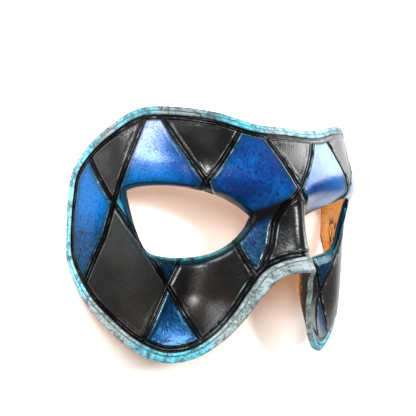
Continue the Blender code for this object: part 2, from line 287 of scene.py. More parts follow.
def rest_level():
    """Height on the form of the edge that the mask rests on."""
    return form_points(np.array(REST_EDGE[:1]), np.array(REST_EDGE[1:]))[0, 2]


def form_normals(s, t, step=0.4):
    across = form_points(s + step, t) - form_points(s - step, t)
    upwards = form_points(s, t + step) - form_points(s, t - step)
    normals = np.cross(across, upwards)
    return normals / np.linalg.norm(normals, axis=1)[:, None]


def smooth_loop(points, step):
    """Closed smooth curve through points, with evenly spaced points about step apart."""
    corners = np.array(points)
    before, after = np.roll(corners, 1, 0), np.roll(corners, -1, 0)
    second = np.roll(corners, -2, 0)
    fine = []
    for u in np.linspace(0.0, 1.0, CURVE_STEPS, endpoint=False):
        fine.append(
            0.5 * (2.0 * corners + (after - before) * u
                   + (2.0 * before - 5.0 * corners + 4.0 * after - second) * u ** 2
                   + (3.0 * corners - before - 3.0 * after + second) * u ** 3)
        )
    fine = np.stack(fine, 1).reshape(-1, 2)
    return even_points(np.vstack((fine, fine[:1])), step)[:-1]


def even_points(line, step):
    """Points about step apart along an open line, its two ends included."""
    line = np.asarray(line, float)
    length = np.concatenate(([0.0], np.cumsum(np.linalg.norm(np.diff(line, axis=0), axis=1))))
    places = np.linspace(0.0, length[-1], max(round(length[-1] / step), 1) + 1)
    return np.stack([np.interp(places, length, line[:, axis]) for axis in (0, 1)], 1)


def inset_loop(loop, distance):
    """Loop moved to its right by distance, a number or one for each point."""
    ahead = np.roll(loop, -1, 0) - np.roll(loop, 1, 0)
    ahead /= np.linalg.norm(ahead, axis=1)[:, None]
    side = np.stack((ahead[:, 1], -ahead[:, 0]), 1)
    return loop + side * np.asarray(distance).reshape(-1, 1)


def segment_ways(points, start, end):
    """Ways from points to segments, either one segment for all points or one for each."""
    run = end - start
    along = ((points - start) * run).sum(-1) / (run * run).sum(-1)
    along = np.clip(along, 0.0, 1.0)
    return np.linalg.norm(points - start - along[:, None] * run, axis=-1)


def line_distances(points, line):
    """Shortest ways in the flat sheet from points to an open line through corners."""
    corners = np.array(line)
    return np.minimum.reduce([segment_ways(points, *ends) for ends in zip(corners, corners[1:])])


def loop_distances(points, loop):
    """Signed ways to a closed loop of fine points, above 0 within it."""
    tree = KDTree(len(loop))
    for number, (s, t) in enumerate(loop):
        tree.insert((s, t, 0.0), number)
    tree.balance()
    nearest = np.array([tree.find((s, t, 0.0))[1] for s, t in points])
    before, after = loop[nearest - 1], loop[(nearest + 1) % len(loop)]
    here = loop[nearest]
    ways = np.minimum(segment_ways(points, before, here), segment_ways(points, here, after))
    ahead = after - before
    side = (points - here)[:, 0] * ahead[:, 1] - (points - here)[:, 1] * ahead[:, 0]
    return np.where(side >= 0.0, ways, -ways)


def rim_band(points):
    """Width of the band between the leather's edge and the middle of the rim channel."""
    s, t = points[:, 0], points[:, 1]
    lobe = RIM_BAND_LOBE * smooth(-t, *LOBE_RANGE)
    nose = RIM_BAND_NOSE * bell(s, NOSE_REACH) * smooth(-t, 0.0, NOSE_REACH)
    return RIM_BAND + lobe + nose


def lid_margin(points):
    """Width of the rolled margin, which is narrower at the eye's outer corner."""
    narrow = smooth(np.abs(points[:, 0]), *OUTER_CORNER)
    return LID_MARGIN + (LID_MARGIN_OUTER - LID_MARGIN) * narrow


class FlatSheet:
    """The flat pattern of the mask: its edges, its tooled lines and its coloured diamonds."""

    def __init__(self, step):
        near = [(-s, t) for s, t in NEAR_OUTLINE[-2:0:-1]]
        near_eye = [(-s, t) for s, t in NEAR_EYE[::-1]]
        self.step = step
        self.outline = smooth_loop(list(FAR_OUTLINE) + near, step)
        self.lids = [smooth_loop(eye, step) for eye in (near_eye, FAR_EYE)]
        self.centre = inset_loop(self.outline, rim_band(self.outline))

    def loops(self):
        return [self.outline] + self.lids

    def line_ways(self, points):
        """Distance to the nearest tooled line of the half that each point is on."""
        ways = np.empty(len(points))
        for sign, lines in HALVES:
            chosen = points[:, 0] * sign >= 0.0
            half = points[chosen] * (sign, 1.0)
            nearest = [line_distances(half, line) for line in lines]
            ways[chosen] = np.minimum.reduce(nearest)
        return ways

    def rim_ways(self, points):
        """Signed distance to the middle of the rim channel, below 0 outside it."""
        return loop_distances(points, self.centre)

    def edge_ways(self, points):
        return loop_distances(points, self.outline)

    def lid_ways(self, points):
        """Distance to the nearest eye opening, below 0 within it."""
        return -np.maximum(*[loop_distances(points, lid) for lid in self.lids])

    def blue(self, points):
        """1 in the blue diamonds and 0 in the black ones, which alternate line by line."""
        count = np.zeros(len(points), int)
        for sign, lines in HALVES:
            chosen = points[:, 0] * sign >= 0.0
            for line in lines:
                tops, rows = zip(*line[::-1])
                count += chosen & (np.abs(points[:, 0]) > np.interp(points[:, 1], rows, tops))
        return (count % 2).astype(float)

    def roll(self, points):
        """How far the leather turns in towards the edge of the nearest eye opening."""
        away = np.clip(1.0 - self.lid_ways(points) / lid_margin(points), 0.0, 1.0)
        depth = LID_ROLL * (1.0 - FAR_ROLL_FADE * smooth(points[:, 0], *OUTER_CORNER))
        return -depth * away ** 2

    def front_points(self):
        """Points packed along every edge and channel, and spread over the plain leather."""
        rows = [inset_loop(self.outline, way) for way in EDGE_ROWS]
        for way in RIM_ROWS:
            rows.append(inset_loop(self.outline, rim_band(self.outline) + way))
        for lid in self.lids:
            rows += [inset_loop(lid, -way) for way in LID_ROWS]
        for sign, lines in HALVES:
            for line in lines:
                rows += self.line_rows(np.array(line) * (sign, 1.0))
        rows.append(self.lattice(step=2.0 * self.step, clearance=2.0))
        return np.vstack(rows)

    def line_rows(self, line):
        """Rows of points along a tooled line and on both sides of it."""
        rows = []
        for start, end in zip(line[:-1], line[1:]):
            row = even_points((start, end), self.step)
            ahead = (end - start) / np.linalg.norm(end - start)
            side = np.array((ahead[1], -ahead[0]))
            for way in LINE_ROWS:
                rows += [row + side * way, row - side * way]
        return rows

    def lattice(self, step, clearance):
        """Points in a honeycomb, clear of the channels."""
        s = np.arange(*LATTICE_S, step)
        t = np.arange(*LATTICE_T, step * LATTICE_ROW)
        grid_s, grid_t = np.meshgrid(s, t)
        grid_s[::2] += 0.5 * step
        points = np.stack((grid_s.ravel(), grid_t.ravel()), 1)
        free = (self.line_ways(points) > clearance) & (self.rim_ways(points) > clearance)
        return points[free]

    def triangles(self, points, clearance):
        """Delaunay mesh of the sheet through its loops and the loose points given."""
        gap = np.minimum(self.edge_ways(points), self.lid_ways(points))
        points = thinned(points[gap > clearance], clearance)
        fixed = np.vstack(self.loops())
        edges = []
        first = 0
        for loop in self.loops():
            count = len(loop)
            edges += [(first + here, first + (here + 1) % count) for here in range(count)]
            first += count
        inside_only, merge_gap = 1, 1.0e-6
        verts, _, faces, sources, _, _ = delaunay_2d_cdt(
            [Vector(point) for point in np.vstack((fixed, points))], edges, [], inside_only,
            merge_gap)
        verts, faces = np.array(verts), np.array(faces)
        faces = faces[self.lid_ways(verts[faces].mean(1)) > 0.0]
        place = {source: number for number, found in enumerate(sources) for source in found}
        return verts, faces, [place[number] for number in range(len(fixed))]


def thinned(points, gap):
    """Points with no two in the same small square."""
    cells = np.round(points / gap).astype(int)
    _, first = np.unique(cells, axis=0, return_index=True)
    return points[np.sort(first)]


class Piece:
    """Vertices and faces of one mesh, with the flat pattern's values at each vertex."""

    def __init__(self, sheet):
        self.sheet = sheet
        self.values = {name: [] for name in VALUES}
        self.places = []
        self.normals = []
        self.patterns = []
        self.turned = {}
        self.faces = []
        self.count = 0

    def add(self, flat, depth, away, front, pattern):
        """Adds points at a depth below the leather's face, away beyond its edge."""
        sheet = self.sheet
        normals = form_normals(flat[:, 0], flat[:, 1])
        height = sheet.roll(flat) - depth
        places = form_points(flat[:, 0], flat[:, 1]) + normals * height[:, None]
        self.places.append(places)
        self.normals.append(normals)
        self.patterns.append(pattern)
        values = {
            "line_way": sheet.line_ways(flat), "rim_way": sheet.rim_ways(flat),
            "edge_way": sheet.edge_ways(flat) - away, "lid_way": sheet.lid_ways(flat) - away,
            "blue": sheet.blue(flat), "front": np.full(len(flat), front),
        }
        for name in VALUES:
            self.values[name].append(values[name])
        first = self.count
        self.count += len(flat)
        return first

    def strip(self, first, second, turned):
        """Faces between two closed rows of vertices, those in turned with their new places."""
        for here in range(len(first)):
            there = (here + 1) % len(first)
            for face in ((first[here], first[there], second[there]),
                         (first[here], second[there], second[here])):
                for corner, vertex in enumerate(face):
                    if vertex in turned:
                        self.turned[3 * len(self.faces) + corner] = turned[vertex]
                self.faces.append(face)

    def mesh(self, name):
        rest = rest_level()
        places = np.vstack(self.places)
        places[:, 2] = np.maximum(places[:, 2], rest) - rest
        places -= (MIDDLE_S, MIDDLE_T, 0.0)
        mesh = bpy.data.meshes.new(name)
        mesh.from_pydata((places * MM).tolist(), [], self.faces)
        for value in VALUES:
            layer = mesh.attributes.new(value, "FLOAT", "POINT")
            layer.data.foreach_set("value", np.concatenate(self.values[value]))
        direction = mesh.attributes.new("form_normal", "FLOAT_VECTOR", "POINT")
        direction.data.foreach_set("vector", np.vstack(self.normals).ravel())
        corners = np.empty(len(mesh.loops), int)
        mesh.loops.foreach_get("vertex_index", corners)
        pattern = np.vstack(self.patterns)[corners]
        for corner, place in self.turned.items():
            pattern[corner] = place
        flat = mesh.uv_layers.new(name=PATTERN_MAP)
        flat.data.foreach_set("uv", pattern.ravel())
        return mesh


class Term:
    """One socket of a node tree, so that sums on values are written as sums."""

    def __init__(self, graph, socket):
        self.graph = graph
        self.socket = socket

    def also(self, output):
        """Another output of the same node."""
        return Term(self.graph, self.socket.node.outputs[output])

    def __add__(self, other):
        return self.graph.maths("ADD", self, other)

    __radd__ = __add__

    def __sub__(self, other):
        return self.graph.maths("SUBTRACT", self, other)

    def __rsub__(self, other):
        return self.graph.maths("SUBTRACT", other, self)

    def __mul__(self, other):
        return self.graph.maths("MULTIPLY", self, other)

    __rmul__ = __mul__

    def __truediv__(self, other):
        return self.graph.maths("DIVIDE", self, other)

    def __rtruediv__(self, other):
        return self.graph.maths("DIVIDE", other, self)

    def __abs__(self):
        return self.graph.maths("ABSOLUTE", self)

    def least(self, other):
        return self.graph.maths("MINIMUM", self, other)

    def most(self, other):
        return self.graph.maths("MAXIMUM", self, other)

    def above(self, low, high):
        """0 below low, 1 above high and a soft step between them."""
        settings = {"interpolation_type": "SMOOTHSTEP"}
        inputs = {"Value": self, "From Min": low, "From Max": high}
        return self.graph.node("ShaderNodeMapRange", settings, inputs)

    def below(self, low, high):
        return 1.0 - self.above(low, high)

    def about(self, middle, narrow, wide):
        """1 within narrow of middle, 0 further than wide from it."""
        return abs(self - middle).below(narrow, wide)


class Graph:
    """A node tree that is written node by node."""

    def __init__(self, tree):
        self.tree = tree
        tree.nodes.clear()

    def node(self, kind, settings=None, inputs=None, output=0):
        """Adds a node with its settings, then its values and links, and gives one output."""
        made = self.tree.nodes.new(kind)
        for name, value in (settings or {}).items():
            setattr(made, name, value)
        for name, value in (inputs or {}).items():
            if isinstance(value, Term):
                self.tree.links.new(value.socket, made.inputs[name])
            else:
                made.inputs[name].default_value = value
        if not made.outputs:
            return made
        return Term(self, made.outputs[output])

    def maths(self, operation, *values):
        return self.node("ShaderNodeMath", {"operation": operation}, dict(enumerate(values)))


class Paint(Graph):
    """A material's node tree."""

    def __init__(self, name):
        self.material = bpy.data.materials.new(name)
        self.material.use_nodes = True
        super().__init__(self.material.node_tree)

    def finish(self, inputs, bump, depth):
        """Ends the tree in one shader, with the bump's height in millimetres."""
        relief = {"Height": bump, "Distance": depth * MM}
        inputs = dict(inputs, Normal=self.node("ShaderNodeBump", None, relief))
        surface = self.node("ShaderNodeBsdfPrincipled", None, inputs)
        self.node("ShaderNodeOutputMaterial", None, {"Surface": surface})
        return self.material


class LeatherPaint(Paint):
    """Paint laid out in millimetres of the flat pattern, on its front or back band."""

    def __init__(self, name, band):
        super().__init__(name)
        flat = self.node("ShaderNodeUVMap", {"uv_map": PATTERN_MAP})
        self.place = self.node("ShaderNodeVectorMath", {"operation": "SCALE"},
                               {0: flat, "Scale": PATTERN_SPAN})
        split = self.node("ShaderNodeSeparateXYZ", None, {0: self.place})
        middle = pattern_middle(band)
        self.across = split.also("X") - middle[0]
        self.up = split.also("Y") - middle[1]

    def field(self, name):
        return self.node("ShaderNodeAttribute", {"attribute_name": name}, output="Fac")

    def noise(self, size, detail=2.0, roughness=0.5, distortion=0.0, offset=0.0):
        """Soft noise with spots about size millimetres across."""
        moved = self.node("ShaderNodeVectorMath", {"operation": "ADD"},
                          {0: self.place, 1: (offset, offset, 0.0)})
        inputs = {"Vector": moved, "Scale": 1.0 / size, "Detail": detail,
                  "Roughness": roughness, "Distortion": distortion}
        return self.node("ShaderNodeTexNoise", {"noise_dimensions": "2D"}, inputs)

    def creases(self, size, stretch, turn, offset=0.0):
        """Noise drawn out into long creases in the direction turn, in degrees."""
        inputs = {"Vector": self.place, "Location": (offset, offset, 0.0),
                  "Rotation": (0.0, 0.0, math.radians(turn)), "Scale": (stretch, 1.0, 1.0)}
        drawn = self.node("ShaderNodeMapping", {"vector_type": "TEXTURE"}, inputs)
        inputs = {"Vector": drawn, "Scale": 1.0 / size, "Detail": 3.0, "Distortion": 0.6}
        return self.node("ShaderNodeTexNoise", {"noise_dimensions": "2D"}, inputs)

    def grain(self, size):
        """Pebbled leather grain, as the distance to the nearest pebble's middle."""
        settings = {"voronoi_dimensions": "2D", "feature": "SMOOTH_F1"}
        inputs = {"Vector": self.place, "Scale": 1.0 / size, "Smoothness": 0.4}
        return self.node("ShaderNodeTexVoronoi", settings, inputs, "Distance")

    def mix(self, factor, first, second):
        """Colour first where factor is 0 and second where it is 1."""
        first, second = (value if isinstance(value, Term) else (*value, 1.0)
                         for value in (first, second))
        return self.node("ShaderNodeMix", {"data_type": "RGBA"},
                         {0: factor, 6: first, 7: second}, 2)

    def coats(self, ground, *layers):
        """Colour ground under coats of dye, each a factor and a colour."""
        for factor, layer in layers:
            ground = self.mix(factor, ground, layer)
        return ground


def pattern_middle(band):
    """Middle of the sheet in the UV map in millimetres, on the front's band 0 or the back's 1."""
    return PATTERN_SPAN / 2.0, PATTERN_SPAN / 4.0 * (1.0 + 2.0 * band) - MIDDLE_T


def pattern_place(flat, band):
    """Where points of the flat sheet lie in the UV map."""
    return (flat + np.array(pattern_middle(band))) / PATTERN_SPAN


def groove_way(line, rim):
    """Distance to the middle of the nearest channel, with no tooled lines across the rim."""
    return (line + rim.below(*RIM_OUTSIDE) * OUT_OF_REACH).least(abs(rim))


def painted_leather(look):
    """Blue and black diamonds, blackened channels, rubbed edges and a silvered rim."""
    paint = LeatherPaint("painted_leather", 0)
    across, aside, up = paint.across, abs(paint.across), paint.up
    rim, lid, blue = (paint.field(name) for name in ("rim_way", "lid_way", "blue"))

    cloud = paint.noise(16.0)
    mottle = paint.noise(1.5, detail=4.0, roughness=0.7, distortion=0.7)
    fleck = paint.noise(0.55, roughness=0.6, distortion=1.2, offset=40.0)
    patch = paint.noise(5.0, detail=3.0, roughness=0.6, distortion=0.5, offset=90.0)

    groove = groove_way(paint.field("line_way"), rim)
    soft_groove = groove + (mottle - 0.5) * 1.2 + (patch - 0.5) * 2.0
    channel = groove.below(0.85, 1.15)
    banded = rim.below(*RIM_SILVERED)

    temple, top = aside.above(46.0, 66.0), up.above(20.0, 30.0)
    lower, cheek, under = up.below(-12.0, 3.0), up.below(-26.0, -10.0), up.below(-14.5, -10.0)

    # Blue: royal mottled with azure, azure at the temples, lighter azure on the far half as a
    # painted highlight, petrol on the cheeks, teal beside the channels, a painted lilac highlight
    # over the eyes and dark specks
    # Painted highlight: a lilac-white bloom over the eyes, the same on both halves
    highlight_bloom = aside.about(66.0, 3.0, 12.0) * up.above(12.0, 28.0) * (cloud + 0.3)
    speckled = fleck.below(0.3, 0.58) * 0.5 + mottle.below(0.3, 0.46) * 0.3
    speckled = speckled + (mottle * 0.6 + fleck * 0.4).below(0.36, 0.56) * lower * 0.6
    dyed = paint.coats(
        look.royal_blue,
        ((mottle * 0.5 + cloud * 0.9).above(0.6, 1.1), look.azure_blue),
        (temple * (0.4 + mottle * 0.7), look.azure_blue),
        # Painted highlight: the far half is mixed lighter towards azure
        (across.above(8.0, 26.0) * 0.6, look.azure_blue),
        (lower * 0.8, look.petrol_blue),
        (lower * mottle.above(0.5, 0.75) * 0.5, look.teal),
        (soft_groove.below(1.0, 4.6) * 0.75, look.teal),
        (soft_groove.below(0.9, 2.0) * 0.7, look.lid_teal_dye_and_shade),
        (highlight_bloom * 0.3, look.highlight_lilac),
        (speckled.least(1.0), look.ink_black),
    )

    # Black: worn to charcoal in places, lightened to charcoal at the temples as a painted sheen,
    # over brown on the cheeks
    black = paint.coats(
        look.ink_black,
        (cloud.above(0.4, 0.75) * 0.3 + patch.above(0.5, 0.8) * 0.2 + temple * 0.5, look.charcoal_wear_and_sheen),
        (up.below(-34.0, -10.0) * cloud.above(0.35, 0.6) * 0.6, look.brown_black),
    )

    # The channels' dye is rubbed off their lips and their ridges
    rubbed = patch * 1.4 + fleck * 0.3
    lip = groove.about(1.3, 0.05, 0.26) * rim.above(*RIM_OUTSIDE) * rubbed.above(0.7, 1.1)
    ridge = groove.below(0.05, 0.3) * rubbed.above(0.75, 1.15)

    # Silvered rim: tinted turquoise at the temples, along the top and under the cheeks, palest at
    # the temples, paled on the far half's top as a painted highlight, with worn places, specks and
    # the scored line
    tint = aside.above(82.0, 93.0) * up.above(-36.0, -24.0)
    tint = tint.most(across.about(-27.0, 9.0, 20.0) * top * 0.8)
    tint = tint.most(aside.about(70.0, 4.0, 12.0) * top * 0.7)
    tint = tint.most(aside.about(52.0, 12.0, 26.0) * up.below(-52.0, -44.0) * 0.8)
    tint = tint * (0.25 + mottle + cloud * 0.5)
    pale = aside.above(84.0, 96.0) * up.above(-36.0, -20.0) * (0.4 + mottle)
    # Painted highlight: the rim's top over the far half is paled towards ice blue
    pale = pale.most(across.above(-16.0, 2.0) * top * 0.7)
    dull = aside.about(47.0, 6.0, 22.0) * up.above(15.0, 25.0)
    worn = ((mottle * 0.35 + patch * 0.65).below(0.4, 0.6) * 0.6 + dull * 0.5).least(1.0)
    specks = (fleck * 0.6 + mottle * 0.25 + patch * 0.3).below(0.46, 0.59)
    scored = rim.about(SCORE_AT, 0.08, 0.28) * (patch + fleck * 0.3).above(0.45, 0.75)
    silver = paint.coats(
        look.silver,
        (tint.least(1.0), look.turquoise),
        (pale.least(1.0), look.ice_blue),
        (worn, look.patina),
        (specks * 0.8, look.channel_black),
        (scored * 0.85, look.channel_black),
    )

    # Rolled margins of the eyes: a dark line in them, bright paint on the lower lids' cut edge
    # and at the outer corners, and teal on the upper lids' cut edge
    bright = lid.below(0.6, 1.1) * under * (fleck * 0.6 + patch * 0.6).above(0.5, 0.72)
    wedge = aside.above(66.0, 69.0) * up.below(3.0, 6.0) * lid.about(3.3, 0.5, 1.3)
    bright = bright.most(wedge * blue * (1.0 - channel) * 0.8)

    # The crease between brow and nose is darkened to black across both diamonds,
    # partly black dye and partly painted shade
    crease = abs(up - 6.6 + aside * 0.42 + (patch - 0.5) * 2.0)
    crease = crease.below(1.4, 5.6) * aside.below(15.0, 20.0)
    face = paint.coats(
        paint.mix(blue, black, dyed),
        (channel, look.channel_black),
        (lip * (0.3 + across.above(-45.0, -15.0) * 0.4), look.rubbed_grey),
        (ridge * 0.22, look.rubbed_grey),
        (banded, silver),
        # Rolled margins of the eyes darkened to teal: partly dye, partly painted shade
        (lid.below(0.8, 5.2) * (1.0 - banded) * 0.85, look.lid_teal_dye_and_shade),
        (lid.about(2.2, 0.1, 0.5) * 0.8, look.channel_black),
        (bright * 0.5, look.turquoise),
        (lid.about(0.0, 0.1, 0.35) * (1.0 - under) * 0.6, look.teal),
        # Black dye and painted shade in the brow-to-nose crease
        (crease, look.ink_black),
    )

    # Metallic sheen of the rim and the blues; channels, cheeks and upper lids' edges go dull
    metal = banded * (1.0 - worn) * 0.2
    metal = metal + blue * (1.0 - channel) * (1.0 - banded) * (0.15 + lower * 0.25)
    dark = (channel * 0.85).most(cheek * 0.4).most(lid.below(0.2, 0.7) * (1.0 - under) * 0.6)
    metal = (metal + dark * (1.0 - banded)).least(1.0)
    rough = 0.17 + mottle * 0.1 + cheek * 0.07 + banded * 0.28 + channel * 0.1
    wrinkles = paint.creases(1.6, stretch=5.0, turn=62.0)
    wrinkles = wrinkles + paint.creases(1.1, stretch=4.0, turn=-34.0, offset=30.0)
    relief = paint.grain(0.9) * 0.25 + wrinkles * 0.5 + mottle * (0.35 + banded * 1.2)
    inputs = {
        "Base Color": face, "Roughness": rough, "Metallic": metal,
        "Coat Weight": 0.1 * (1.0 - banded), "Coat Roughness": 0.22, "IOR": 1.32,
    }
    return paint.finish(inputs, relief, look.grain_height / MM)


def bare_leather(look):
    """Undyed inner side, with dye that ran over the edges and a few smudges."""
    paint = LeatherPaint("bare_leather", 1)
    aside, up = abs(paint.across), paint.up
    reach = paint.field("edge_way").least(paint.field("lid_way") + 1.5)
    cloud = paint.noise(18.0, detail=3.0)
    mottle = paint.noise(1.6, detail=4.0, roughness=0.65)
    patch = paint.noise(6.0, detail=4.0, roughness=0.7, distortion=0.4, offset=33.0)
    low = up.below(-26.0, -12.0)
    nostril = aside.below(24.0, 44.0) * up.below(-20.0, -8.0)
    stained = reach * 0.09 + patch * 0.7 + mottle * 0.3 - low * 0.22 - nostril * 0.5
    stained = stained.below(0.42, 0.6) * (1.0 - mottle.above(0.54, 0.66) * 0.8)
    smudged = reach * 0.1 + patch * 0.7 + mottle * 0.4 - low * 0.1 - nostril * 0.42
    scribbled = aside.about(90.0, 2.5, 6.0) * up.about(-5.0, 4.0, 9.0)
    scribbled = scribbled * paint.creases(1.4, stretch=3.0, turn=75.0).below(0.45, 0.52)
    base = paint.coats(
        look.tan,
        (cloud.above(0.35, 0.65), look.pale_tan),
        (mottle.below(0.3, 0.5) * 0.4, look.brown_stain),
        (stained * 0.9, look.brown_stain),
        (smudged.below(0.44, 0.56).most(scribbled) * 0.95, look.ink_black),
    )
    wrinkles = paint.creases(1.4, stretch=3.0, turn=15.0)
    relief = paint.grain(0.7) * 0.3 + mottle * 0.6 + wrinkles * 0.4
    inputs = {"Base Color": base, "Roughness": 0.62 + mottle * 0.2, "IOR": 1.3}
    return paint.finish(inputs, relief, look.grain_height / MM)


def pale_floor(look):
    """Matt paper."""
    paint = Paint("pale_floor")
    place = paint.node("ShaderNodeTexCoord", output="Object")
    fibres = paint.node("ShaderNodeTexNoise", None, {"Vector": place, "Scale": FIBRES_PER_METRE})
    inputs = {"Base Color": (*look.floor_colour, 1.0), "Roughness": 0.9}
    return paint.finish(inputs, fibres, FIBRE_HEIGHT)


def tooling_tree(front, back):
    """Geometry Nodes that press channels, ridges, lips and waves into the leather's front."""
    tree = bpy.data.node_groups.new("tooled_leather", "GeometryNodeTree")
    graph = Graph(tree)
    tree.interface.new_socket("Geometry", in_out="INPUT", socket_type="NodeSocketGeometry")
    for name in TOOLING:
        tree.interface.new_socket(name, in_out="INPUT", socket_type="NodeSocketFloat")
    tree.interface.new_socket("Geometry", in_out="OUTPUT", socket_type="NodeSocketGeometry")
    given = graph.node("NodeGroupInput", None, None, "Geometry")
    size = {name: given.also(name) for name in TOOLING}

    def field(name, kind="FLOAT"):
        settings = {"data_type": kind}
        return graph.node("GeometryNodeInputNamedAttribute", settings, {"Name": name})

    rim, facing = field("rim_way"), field("front")
    way = groove_way(field("line_way"), rim)
    half = size["Channel Width"] * 0.5
    trench = (way / half).below(0.55, 1.0)
    height = size["Ridge Height"] * way.below(0.08, 0.5) - size["Channel Depth"] * trench
    height = height + size["Lip Height"] * (way - half).about(0.35, 0.1, 0.6)
    height = height + size["Lip Height"] * rim.about(RIM_LIP_AT, 0.2, 0.5)
    height = height - size["Score Depth"] * rim.about(SCORE_AT, 0.08, 0.36)
    inputs = {"W": size["Seed"], "Scale": 1.0 / MM / size["Wave Length"], "Detail": 2.0}
    waves = graph.node("ShaderNodeTexNoise", {"noise_dimensions": "4D"}, inputs)
    height = height + (waves - 0.5) * size["Wave Height"]
    for name in ("edge_way", "lid_way"):
        height = height * field(name).above(0.0, TOOLING_FADE)
    height = height * facing.above(EDGE_FRONT, 1.0) * MM
    lift = graph.node("ShaderNodeVectorMath", {"operation": "SCALE"},
                      {0: field("form_normal", "FLOAT_VECTOR"), "Scale": height})
    pressed = graph.node("GeometryNodeSetPosition", None, {"Geometry": given, "Offset": lift})
    real = graph.node("GeometryNodeRealizeInstances", None, {0: pressed})
    painted = graph.node("GeometryNodeSetMaterial", None, {"Geometry": real, "Material": front})
    chosen = graph.node("FunctionNodeCompare", {"operation": "LESS_THAN"},
                        {0: facing, 1: BARE_BELOW})
    bare = graph.node("GeometryNodeSetMaterial", None,
                      {"Geometry": painted, "Selection": chosen, "Material": back})
    graph.node("NodeGroupOutput", None, {"Geometry": bare})
    return tree


def tooled(obj, tree, sizes):
    """Plain mesh of the object with the tree's channels pressed into it."""
    modifier = obj.modifiers.new("tooling", "NODES")
    modifier.node_group = tree
    for item in tree.interface.items_tree:
        if item.in_out == "INPUT" and item.name in sizes:
            modifier[item.identifier] = sizes[item.name]
    depsgraph = bpy.context.evaluated_depsgraph_get()
    mesh = bpy.data.meshes.new_from_object(obj.evaluated_get(depsgraph))
    obj.modifiers.remove(modifier)
    plain = obj.data
    obj.data = mesh
    bpy.data.meshes.remove(plain)
    mesh.name = obj.name


def leather_piece(look):
    """Front, cut edges and back of the leather, pressed onto the form."""
    thickness = look.leather / MM
    step = look.point_gap / MM
    sheet = FlatSheet(step)
    piece = Piece(sheet)
    flat, faces, front_rim = sheet.triangles(sheet.front_points(), clearance=0.4 * step)
    gap = np.minimum(sheet.edge_ways(flat), sheet.lid_ways(flat))
    depth = EDGE_ROUND * np.clip(1.0 - gap / EDGE_ROUND_WIDTH, 0.0, 1.0) ** 2
    piece.add(flat, depth, 0.0, 1.0, pattern_place(flat, 0))
    piece.faces += [tuple(face) for face in faces]
    rows = [sheet.lattice(step=3.0 * step, clearance=0.0)]
    rows += [inset_loop(sheet.outline, way) for way in BACK_ROWS]
    rows += [inset_loop(lid, -way) for lid in sheet.lids for way in LID_ROWS[::2]]
    flat, faces, back_rim = sheet.triangles(np.vstack(rows), clearance=1.2 * step)
    first = piece.add(flat, thickness, 0.0, 0.0, pattern_place(flat, 1))
    piece.faces += [tuple(face[::-1] + first) for face in faces]
    start = 0
    for loop in sheet.loops():
        numbers = range(start, start + len(loop))
        start += len(loop)
        outward = 1.0 if loop is sheet.outline else -1.0
        rows = [[front_rim[number] for number in numbers]]
        for bulge, low in EDGE_PROFILE:
            bulged = inset_loop(loop, -bulge * outward)
            flat = pattern_place(inset_loop(loop, -low * outward), 0)
            begin = piece.add(bulged, low, low, EDGE_FRONT, flat)
            rows.append(range(begin, begin + len(loop)))
        rows.append([first + back_rim[number] for number in numbers])
        turned = pattern_place(inset_loop(loop, -thickness * outward), 0)
        turned = dict(zip(rows[-1], turned))
        for pair in zip(rows[:-1], rows[1:]):
            piece.strip(*(pair if outward > 0.0 else pair[::-1]), turned)
    return piece


def length(name, default, description):
    return FloatProperty(name=name, default=default, description=description, min=0.0,
                         precision=5, subtype="DISTANCE", unit="LENGTH")


def dye(name, default, description):
    return FloatVectorProperty(name=name, default=default, description=description, size=3,
                               min=0.0, max=1.0, subtype="COLOR")


def power(name, default, description):
    return FloatProperty(name=name, default=default, description=description, min=0.0,
                         subtype="POWER", unit="POWER")


